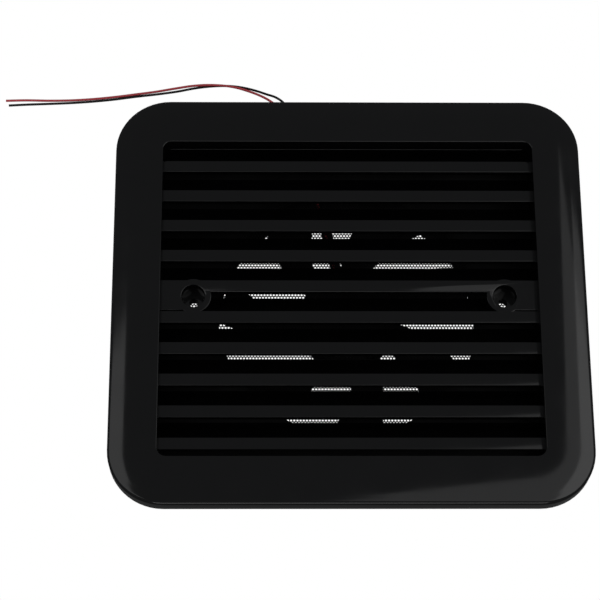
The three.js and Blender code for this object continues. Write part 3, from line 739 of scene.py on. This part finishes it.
def perforated_sheet():
    """A round perforated sheet: staggered rows of one unit, welded and given a wall."""
    tree, given, made = geometry_tree("perforated_sheet", [
        ("Unit", "NodeSocketObject", None),
        ("Pitch", "NodeSocketFloat", 1.0),
        ("Radius", "NodeSocketFloat", 10.0),
        ("Wall", "NodeSocketFloat", 0.4),
        ("Material", "NodeSocketMaterial", None),
    ])

    pitch, radius = given.outputs["Pitch"], given.outputs["Radius"]
    row_pitch = maths(tree, "MULTIPLY", pitch, math.sqrt(0.75))
    half_rows = maths(tree, "CEIL", maths(tree, "DIVIDE", radius, row_pitch))
    half_columns = maths(tree, "CEIL", maths(tree, "DIVIDE", radius, pitch))
    rows = maths(tree, "MULTIPLY_ADD", half_rows, 2.0, 1.0)
    columns = maths(tree, "MULTIPLY_ADD", half_columns, 2.0, 1.0)
    grid = add_node(
        tree, "GeometryNodeMeshGrid",
        {
            "Size X": maths(tree, "MULTIPLY", maths(tree, "SUBTRACT", columns, 1.0), pitch),
            "Size Y": maths(tree, "MULTIPLY", maths(tree, "SUBTRACT", rows, 1.0), row_pitch),
            "Vertices X": columns, "Vertices Y": rows,
        },
    )
    place = add_node(tree, "ShaderNodeSeparateXYZ", {
        "Vector": add_node(tree, "GeometryNodeInputPosition").outputs[0],
    })
    row = maths(tree, "ROUND", maths(tree, "DIVIDE", place.outputs["Y"], row_pitch))
    odd = maths(tree, "MODULO", maths(tree, "ABSOLUTE", row), 2.0)
    shift = add_node(tree, "ShaderNodeCombineXYZ", {
        "X": maths(tree, "MULTIPLY", maths(tree, "MULTIPLY", odd, pitch), 0.5),
    })
    staggered = add_node(
        tree, "GeometryNodeSetPosition",
        {"Geometry": grid.outputs[0], "Offset": shift.outputs[0]},
    )
    reach = add_node(tree, "ShaderNodeVectorMath", {
        0: add_node(tree, "GeometryNodeInputPosition").outputs[0],
    }, operation="LENGTH")
    outside = add_node(tree, "FunctionNodeCompare", operation="GREATER_THAN")
    tree.links.new(reach.outputs["Value"], outside.inputs[0])
    tree.links.new(radius, outside.inputs[1])
    round_field = add_node(
        tree, "GeometryNodeDeleteGeometry",
        {"Geometry": staggered.outputs[0], "Selection": outside.outputs[0]}, domain="POINT",
    )
    units = copied(tree, round_field.outputs[0], given.outputs["Unit"])
    flat = add_node(tree, "GeometryNodeRealizeInstances", {"Geometry": units})
    welded = add_node(
        tree, "GeometryNodeMergeByDistance", {"Geometry": flat.outputs[0]}, Distance=0.01,
    )
    up = add_node(tree, "ShaderNodeCombineXYZ", {"Z": given.outputs["Wall"]})
    raised = add_node(
        tree, "GeometryNodeExtrudeMesh",
        {"Mesh": welded.outputs[0], "Offset": up.outputs[0]}, Individual=False,
    )
    under = add_node(tree, "GeometryNodeFlipFaces", {"Mesh": welded.outputs[0]})
    closed = add_node(tree, "GeometryNodeJoinGeometry")
    tree.links.new(under.outputs[0], closed.inputs[0])
    tree.links.new(raised.outputs[0], closed.inputs[0])
    sealed = add_node(
        tree, "GeometryNodeMergeByDistance", {"Geometry": closed.outputs[0]}, Distance=0.01,
    )
    end_tree(tree, given, made, sealed.outputs[0])
    return tree


screen_black = new_material("screen_black", moulded, {
    "Plastic": (0.003, 0.003, 0.0033, 1), "Dust": (0.03, 0.03, 0.03, 1), "Dust Share": 0.1,
    "Gloss Low": 0.4, "Gloss High": 0.55, "Grain Scale": 2500.0, "Grain Height": 0.1,
})
sheet_tree = perforated_sheet()
unit = temporary(screen_unit())
bm = bmesh.new()
fixing_places = [(side * boss_place[0], boss_place[1]) for side in (-1, 1)]
for centre, radius in (
    ((0, 0), mesh_radius), (fixing_places[0], patch_radius), (fixing_places[1], patch_radius)
):
    sheet = grown(sheet_tree, {
        "Unit": unit, "Pitch": hole_pitch, "Radius": radius, "Wall": mesh_wall,
        "Material": screen_black,
    })
    sheet.transform(Matrix.Translation((*centre, screen_bottom + 0.1)))
    bm.from_mesh(sheet)
bpy.data.objects.remove(unit)
screen_mesh = bpy.data.meshes.new("screen_mesh")
bm.to_mesh(screen_mesh)
bm.free()
add_piece("screen_mesh", screen_mesh, screen_black, ["insect_screen"])

half_x, half_y = insert_half[0] - 0.3, insert_half[1] - 0.3
rim = slab(-half_x, half_x, half_y, opening_corner, screen_bottom, screen_top, 0.1)
cuts = [
    turned_mesh([(radius, screen_bottom - 1), (radius, screen_top + 1)], steps, place)
    for radius, steps, place in (
        (rim_bore, 144, (0, 0)), (rim_hole, 32, fixing_places[0]), (rim_hole, 32, fixing_places[1])
    )
]
add_piece("screen_rim", merged(rim, [], cuts), screen_black, ["insect_screen"])

# ------------------------------------------------------------------ duct casing
# The tray behind the bezel, moulded in a duller black ABS. Its walls pass through the wall's
# cut-out, its plate carries the fan, and its six ears take the bezel's screws.


def softened(node, width):
    """A carried-over shape, in millimetres, with its hard edges rounded a little."""
    bm = bmesh.new()
    bm.from_mesh(bpy.data.objects[node].data)
    bmesh.ops.scale(bm, vec=(1 / MM,) * 3, verts=bm.verts)
    bmesh.ops.remove_doubles(bm, verts=bm.verts, dist=0.001)
    bmesh.ops.dissolve_limit(bm, angle_limit=math.radians(1), verts=bm.verts, edges=bm.edges)
    holder = temporary(finished(bm))
    rounding = holder.modifiers.new("rounding", "BEVEL")
    rounding.width, rounding.segments = width, 2
    rounding.limit_method, rounding.angle_limit = "ANGLE", math.radians(40)
    mesh = evaluated_mesh(holder)
    bpy.data.objects.remove(holder)
    return mesh


moulded_black = new_material("moulded_black", moulded, {
    "Plastic": (0.013, 0.013, 0.0135, 1), "Dust": (0.06, 0.06, 0.06, 1),
    "Dust Share": 0.2, "Gloss Low": 0.36, "Gloss High": 0.5, "Grain Scale": 1400.0,
    "Grain Height": 0.25,
})
add_piece(
    "casing", softened("duct_casing", 0.35), moulded_black, ["duct_casing"],
    sharp=20,
)

# ------------------------------------------------------------------ gasket
# A square of closed-cell foam between the casing's plate and the fan's flange. It stops air from
# slipping past the duct, and is cut with a round hole for the duct and one for each screw.

grey_foam = new_material("grey_foam", moulded, {
    "Plastic": (0.024, 0.024, 0.026, 1), "Dust": (0.07, 0.07, 0.07, 1), "Dust Share": 0.7,
    "Gloss Low": 0.85, "Gloss High": 0.98, "Grain Scale": 2600.0, "Grain Height": 0.9,
})
add_piece(
    "gasket", softened("fan_gasket", 0.2), grey_foam, ["fan_gasket"], sharp=20
)

# ------------------------------------------------------------------ fan housing
# The fan's frame, moulded in glass-filled black plastic: two square flanges on a round duct, four
# struts, and the motor's round base with its bearing tube. The leads lie in a slot in one strut.

fan_size, fan_depth = 140.0, 25.0
fan_corner, fan_flange = 6.0, 4.0
fan_hole_pitch, fan_hole_radius = 124.5, 2.2
duct_radius, duct_wall = 67.25, 2.2
duct_mouth = [(2.0, -1.0), (1.0, 0), (0.35, 1.4), (0, 3.2)]  # beyond the bore, in from the end
strut_count, strut_width, strut_depth = 4, 5.4, 3.4
lead_strut = math.radians(103)
base_radius, base_bottom, base_top = 23.5, 22.8, 24.4
tube_inner, tube_outer, tube_bottom = 4.5, 5.7, 7.0
channel_start, channel_half, channel_floor = 20.5, 1.8, 23.1


half = fan_size / 2
lower_flange = slab(-half, half, half, fan_corner, 0, fan_flange, 0.5)
upper_flange = slab(-half, half, half, fan_corner, fan_depth - fan_flange, fan_depth, 0.5)
duct = turned_mesh(
    [(duct_radius + duct_wall, 1), (duct_radius + duct_wall, fan_depth - 1)], 160
)
bore = turned_mesh(
    [(duct_radius + beyond, z) for beyond, z in duct_mouth]
    + [(duct_radius + beyond, fan_depth - z) for beyond, z in reversed(duct_mouth)],
    160,
)
fan_corners = [
    (x * fan_hole_pitch / 2, y * fan_hole_pitch / 2)
    for x, y in ((1, 1), (-1, 1), (-1, -1), (1, -1))
]
fan_holes = [
    turned_mesh([(fan_hole_radius, -1), (fan_hole_radius, fan_depth + 1)], 32, place)
    for place in fan_corners
]
frame_shell = merged(lower_flange, [upper_flange, duct], [bore, *fan_holes])

base = turned_mesh(
    [(base_radius - 0.4, base_bottom), (base_radius, base_bottom + 0.4),
     (base_radius, base_top - 0.4), (base_radius - 0.4, base_top)],
    120,
)
tube = turned_mesh(
    [(tube_outer - 0.3, tube_bottom), (tube_outer, tube_bottom + 0.3),
     (tube_outer, base_bottom + 0.5)]
)
struts = [
    slab(
        base_radius - 0.8, duct_radius + 1.2, strut_width / 2, 1.0, fan_depth - strut_depth,
        fan_depth - 0.05, 0.6, lead_strut + 2 * math.pi * i / strut_count,
    )
    for i in range(strut_count)
]
channel = slab(
    channel_start, fan_size, channel_half, 0.6, channel_floor, fan_depth + 1, 0.1, lead_strut
)
bearing_bore = turned_mesh([(tube_inner, tube_bottom - 1), (tube_inner, base_bottom + 0.3)])
add_piece(
    "fan_frame", merged(frame_shell, [base, tube, *struts], [bearing_bore, channel]),
    moulded_black, ["fan_housing"],
)

# ------------------------------------------------------------------ impeller
# Swept blades round a hollow hub, one moulding in the same plastic. The hub is pressed on the
# shaft, and spins in the duct with the steel ring and the magnet inside it.

blade_count, blade_span, blade_sweep, blade_phase = 7, 26.0, -20.0, 24.0
blade_bottom, blade_height, blade_wall = 2.8, 14.2, 1.5
blade_camber, blade_edge, tip_rise, tip_gap = 0.12, 0.12, 0.55, 1.3
hub_radius, hub_wall, hub_floor, hub_top = 24.5, 1.6, 1.2, 20.8
shaft_boss_radius, shaft_boss_top = 3.2, 5.4
shaft_seat_radius, shaft_seat_floor = 1.8, 2.2


def fan_blade():
    """One blade, thin at its two edges, with its root inside the hub's wall."""
    across, outwards = 20, 14
    root, tip = hub_radius - 0.8, duct_radius - tip_gap
    rings = []
    for i in range(outwards + 1):
        t = i / outwards
        radius = root + (tip - root) * t
        lift = 1 + (tip_rise - 1) * t
        upper, lower = [], []
        for k in range(across + 1):
            s = 0.5 - 0.5 * math.cos(math.pi * k / across)
            turn = math.radians((s - 0.5) * blade_span + blade_sweep * (t - 0.5))
            z = blade_bottom + blade_height * (0.5 + (s - 0.5) * lift)
            z -= blade_camber * blade_height * math.sin(math.pi * s)
            wall = blade_wall * (blade_edge + (1 - blade_edge) * (4 * s * (1 - s)) ** 0.4)
            x, y = radius * math.cos(turn), radius * math.sin(turn)
            upper.append((x, y, z + wall / 2))
            lower.append((x, y, z - wall / 2))
        rings.append(upper + lower[::-1])
    return lofted(rings)


def blade_ring():
    """Copies of one blade, evenly round the axis."""
    tree, given, made = geometry_tree("blade_ring", [
        ("Blade", "NodeSocketObject", None),
        ("Count", "NodeSocketInt", 7),
        ("Phase", "NodeSocketFloat", 0.0),
        ("Material", "NodeSocketMaterial", None),
    ])
    points = add_node(tree, "GeometryNodePoints", {"Count": given.outputs["Count"]})
    index = add_node(tree, "GeometryNodeInputIndex")
    step = maths(tree, "DIVIDE", 2 * math.pi, given.outputs["Count"])
    turn = maths(tree, "MULTIPLY_ADD", index.outputs[0], step, given.outputs["Phase"])
    facing = add_node(tree, "ShaderNodeCombineXYZ", {"Z": turn}).outputs[0]
    blades = copied(tree, points.outputs[0], given.outputs["Blade"], Rotation=facing)
    end_tree(tree, given, made, blades)
    return tree


hub = turned_mesh(
    [(hub_radius - 1.5, hub_floor)]
    + arc((hub_radius - 1.5, hub_floor + 1.5), 1.5, -75, 0, 5)
    + [(hub_radius, hub_top - 0.2), (hub_radius - 0.2, hub_top)],
    120,
)
hollow = turned_mesh(
    [(hub_radius - hub_wall - 0.6, hub_floor + hub_wall),
     (hub_radius - hub_wall, hub_floor + hub_wall + 0.6), (hub_radius - hub_wall, hub_top + 1)],
    120,
)
shaft_boss = turned_mesh([
    (shaft_boss_radius, hub_floor + 0.8), (shaft_boss_radius, shaft_boss_top - 0.3),
    (shaft_boss_radius - 0.3, shaft_boss_top),
])
shaft_seat = turned_mesh([
    (shaft_seat_radius, shaft_seat_floor), (shaft_seat_radius, shaft_boss_top + 0.6),
])
one_blade = temporary(fan_blade())
blades = grown(blade_ring(), {
    "Blade": one_blade, "Count": blade_count, "Phase": math.radians(blade_phase),
    "Material": moulded_black,
})
bpy.data.objects.remove(one_blade)
cup = merged(merged(hub, [blades], [hollow]), [shaft_boss], [shaft_seat])
add_piece("fan_impeller", cup, moulded_black, ["impeller"], "rotor")

# ------------------------------------------------------------------ screws
# Zinc-plated steel screws with cross recesses: six pan heads go up from behind through the ears
# into the bezel's posts, and four countersunk ones hold the fan under the plate.

pan_radius, pan_top, pan_seat = 2.5, 41.4, 43.3
flat_radius, flat_top = 3.65, 29.0
casing_thread = (1.2, 43.6, 47.8, 0.7)  # radius, bottom, top and pitch
fan_thread = (1.9, 18.0, 26.6, 1.1)


def metal_surface():
    """Metal with fine drawn lines and a faint uneven stain."""
    tree, given, made = new_surface("metal_surface", [
        ("Metal", "NodeSocketColor", (0.6, 0.6, 0.6, 1)),
        ("Stain", "NodeSocketColor", (0.3, 0.3, 0.3, 1)),
        ("Stain Share", "NodeSocketFloat", 0.3),
        ("Gloss Low", "NodeSocketFloat", 0.25),
        ("Gloss High", "NodeSocketFloat", 0.45),
        ("Line Height", "NodeSocketFloat", 0.1),
    ])
    place = object_place(tree)
    drawn = add_node(tree, "ShaderNodeMapping", {"Vector": place}, Scale=(1, 1, 14))
    lines = noise(tree, drawn.outputs[0], 900.0, 3.0)
    stain = stretched(tree, noise(tree, place, 260.0, 6.0), 0.4, 0.7)
    share = maths(tree, "MULTIPLY", stain, given.outputs["Stain Share"])
    colour = mixed(tree, share, given.outputs["Metal"], given.outputs["Stain"])
    gloss = stretched(
        tree, lines, 0.3, 0.7,
        {"To Min": given.outputs["Gloss Low"], "To Max": given.outputs["Gloss High"]},
    )
    end_surface(tree, made, colour, gloss, lines, given.outputs["Line Height"])
    return tree


def cross_recess(top, deep, size):
    """The two tapered bars of a cross recess, from just outside a head's top to its depth."""
    outside = top + (top - deep) * 0.2
    bars = []
    for turn in (0, 90):
        bar = lofted([
            [(x * long, y * size * 0.17, z) for x, y in ((-1, -1), (1, -1), (1, 1), (-1, 1))]
            for z, long in ((deep, size * 0.4), (outside, size))
        ])
        bar.transform(Matrix.Rotation(math.radians(turn), 4, "Z"))
        bars.append(bar)
    return bars


def thread(radius, bottom, top, pitch):
    """The ridges of a screw's thread, as points of a turned profile."""
    turns = int((top - bottom) / pitch)
    return [
        point
        for k in range(turns)
        for point in ((0.78 * radius, bottom + k * pitch), (radius, bottom + (k + 0.5) * pitch))
    ]


def screws_at_places():
    """One screw at each point of a mesh."""
    tree, given, made = geometry_tree("screws_at_places", [
        ("Places", "NodeSocketGeometry", None),
        ("Screw", "NodeSocketObject", None),
        ("Material", "NodeSocketMaterial", None),
    ])
    end_tree(tree, given, made, copied(tree, given.outputs["Places"], given.outputs["Screw"]))
    return tree


metal = metal_surface()
zinc_steel = new_material("zinc_steel", metal, {
    "Metal": (0.56, 0.57, 0.58, 1), "Stain": (0.36, 0.34, 0.3, 1), "Stain Share": 0.5,
    "Gloss Low": 0.26, "Gloss High": 0.44, "Line Height": 0.08,
}, metallic=1.0)
pan_profile = [
    (1.5, pan_top), (2.1, 41.65), (2.42, 42.1), (pan_radius, 42.5), (pan_radius, pan_seat - 0.1),
    (pan_radius - 0.1, pan_seat), (casing_thread[0], pan_seat), *thread(*casing_thread),
    (0.9, 47.9), (0.3, 48.6),
]
flat_profile = [
    (0.3, 16.6), (1.4, 17.9), *thread(*fan_thread), (fan_thread[0], 26.8), (fan_thread[0], 27.3),
    (flat_radius, flat_top - 0.15), (flat_radius, flat_top),
]
pan_head = merged(turned_mesh(pan_profile, 24), [], cross_recess(pan_top, 42.5, 1.4))
flat_head = merged(turned_mesh(flat_profile, 28), [], cross_recess(flat_top, 27.4, 2.1))
screw_tree = screws_at_places()
for name, mesh, places, first in (
    ("casing_screws", pan_head, casing_screws, "casing_screw_"),
    ("fan_screws", flat_head, fan_corners, "fan_screw_"),
):
    screw = temporary(mesh)
    at = bpy.data.meshes.new("places")
    at.from_pydata([(x, y, 0) for x, y in places], [], [])
    screws = grown(screw_tree, {"Screw": screw, "Material": zinc_steel}, at)
    bpy.data.objects.remove(screw)
    replaced = [first + str(i + 1) for i in range(len(places))]
    add_piece(name, screws, zinc_steel, replaced)

# ------------------------------------------------------------------ motor label
# A blank disc of black foil on the motor's base, with a thin satin line near its edge.

label_radius, label_line, label_line_half = 20.5, 18.9, 0.25
label_bottom, label_top, label_edge = 24.7, 25.0, 0.08
black_label = new_material("black_label", moulded, {
    "Plastic": (0.006, 0.006, 0.0065, 1), "Dust": (0.02, 0.02, 0.02, 1), "Dust Share": 0.2,
    "Gloss Low": 0.42, "Gloss High": 0.5, "Grain Scale": 3000.0, "Grain Height": 0.1,
})
tree = black_label.node_tree
place = add_node(tree, "ShaderNodeSeparateXYZ", {"Vector": object_place(tree)})
across_squared = maths(tree, "MULTIPLY", place.outputs["Y"], place.outputs["Y"])
reach = maths(
    tree, "SQRT",
    maths(tree, "MULTIPLY_ADD", place.outputs["X"], place.outputs["X"], across_squared),
)
line = maths(tree, "COMPARE", reach, label_line * MM, label_line_half * MM)
ink = add_node(tree, "ShaderNodeMix", {"Factor": line}, data_type="RGBA")
ink.inputs[7].default_value = (0.03, 0.03, 0.032, 1)
tree.links.new(tree.nodes["surface"].outputs["Colour"], ink.inputs[6])
tree.links.new(ink.outputs[2], tree.nodes["Principled BSDF"].inputs["Base Color"])
add_piece(
    "label",
    turned_mesh(
        [(label_radius - label_edge, label_bottom), (label_radius, label_bottom + label_edge),
         (label_radius, label_top - label_edge), (label_radius - label_edge, label_top)],
        96,
    ),
    black_label, ["motor_label"],
)

# ------------------------------------------------------------------ motor
# Inside the hub: a stack of steel laminations with four copper windings and a circuit board on the
# fixed tube, and a shaft in two bearings with a drawn steel ring and a magnet that turn round them.

lamination, wire_pitch = 0.5, 0.35


def layered_surface():
    """Thin layers with a dark gap between them, counted along one coordinate."""
    tree, given, made = new_surface("layered_surface", [
        ("Layer", "NodeSocketColor", (0.4, 0.4, 0.4, 1)),
        ("Between", "NodeSocketColor", (0.05, 0.05, 0.05, 1)),
        ("Along", "NodeSocketFloat", 0.0),
        ("Pitch", "NodeSocketFloat", 0.0005),
    ])
    count = maths(tree, "DIVIDE", given.outputs["Along"], given.outputs["Pitch"])
    edge = stretched(tree, maths(tree, "PINGPONG", count, 0.5), 0.02, 0.16)
    colour = mixed(tree, edge, given.outputs["Between"], given.outputs["Layer"])
    cloud = noise(tree, object_place(tree), 700.0, 4.0)
    gloss = stretched(tree, cloud, 0.3, 0.7, **{"To Min": 0.28, "To Max": 0.5})
    end_surface(tree, made, colour, gloss, edge, 0.6)
    return tree


layered = layered_surface()
laminated_steel = new_material("laminated_steel", layered, {
    "Layer": (0.3, 0.31, 0.33, 1), "Between": (0.03, 0.03, 0.03, 1), "Pitch": lamination * MM,
}, metallic=1.0)
copper_wire = new_material("copper_wire", layered, {
    "Layer": (0.62, 0.24, 0.1, 1), "Between": (0.08, 0.02, 0.01, 1), "Pitch": wire_pitch * MM,
}, metallic=1.0)
for material, along_poles in ((laminated_steel, False), (copper_wire, True)):
    tree = material.node_tree
    place = add_node(tree, "ShaderNodeSeparateXYZ", {"Vector": object_place(tree)})
    along = place.outputs["Z"]
    if along_poles:
        along = maths(
            tree, "MAXIMUM", maths(tree, "ABSOLUTE", place.outputs["X"]),
            maths(tree, "ABSOLUTE", place.outputs["Y"]),
        )
    tree.links.new(along, tree.nodes["surface"].inputs["Along"])
bearing_steel = new_material("bearing_steel", metal, {
    "Metal": (0.68, 0.69, 0.7, 1), "Stain": (0.5, 0.5, 0.5, 1), "Stain Share": 0.2,
    "Gloss Low": 0.16, "Gloss High": 0.3, "Line Height": 0.04,
}, metallic=1.0)
magnet_grey = new_material("magnet_grey", moulded, {
    "Plastic": (0.024, 0.023, 0.024, 1), "Dust": (0.05, 0.05, 0.05, 1), "Dust Share": 0.5,
    "Gloss Low": 0.55, "Gloss High": 0.75, "Grain Scale": 2200.0, "Grain Height": 0.4,
})
green_board = new_material("green_board", moulded, {
    "Plastic": (0.01, 0.1, 0.034, 1), "Dust": (0.2, 0.3, 0.16, 1), "Dust Share": 0.35,
    "Gloss Low": 0.25, "Gloss High": 0.4, "Grain Scale": 1200.0, "Grain Height": 0.15,
})
for material, nodes in (
    (laminated_steel, ["stator_core"]),
    (copper_wire, ["coil_1", "coil_2", "coil_3", "coil_4"]),
    (green_board, ["circuit_board"]),
    (bearing_steel, ["bearing_lower", "bearing_upper", "rotor_shaft"]),
    (zinc_steel, ["rotor_yoke", "shaft_clip", "preload_spring"]),
    (magnet_grey, ["ring_magnet"]),
    (sleeve_finishes["lead_red"], ["strut_lead_red"]),
    (sleeve_finishes["lead_black"], ["strut_lead_black"]),
):
    for node in nodes:
        bpy.data.objects[node].data.materials[0] = material
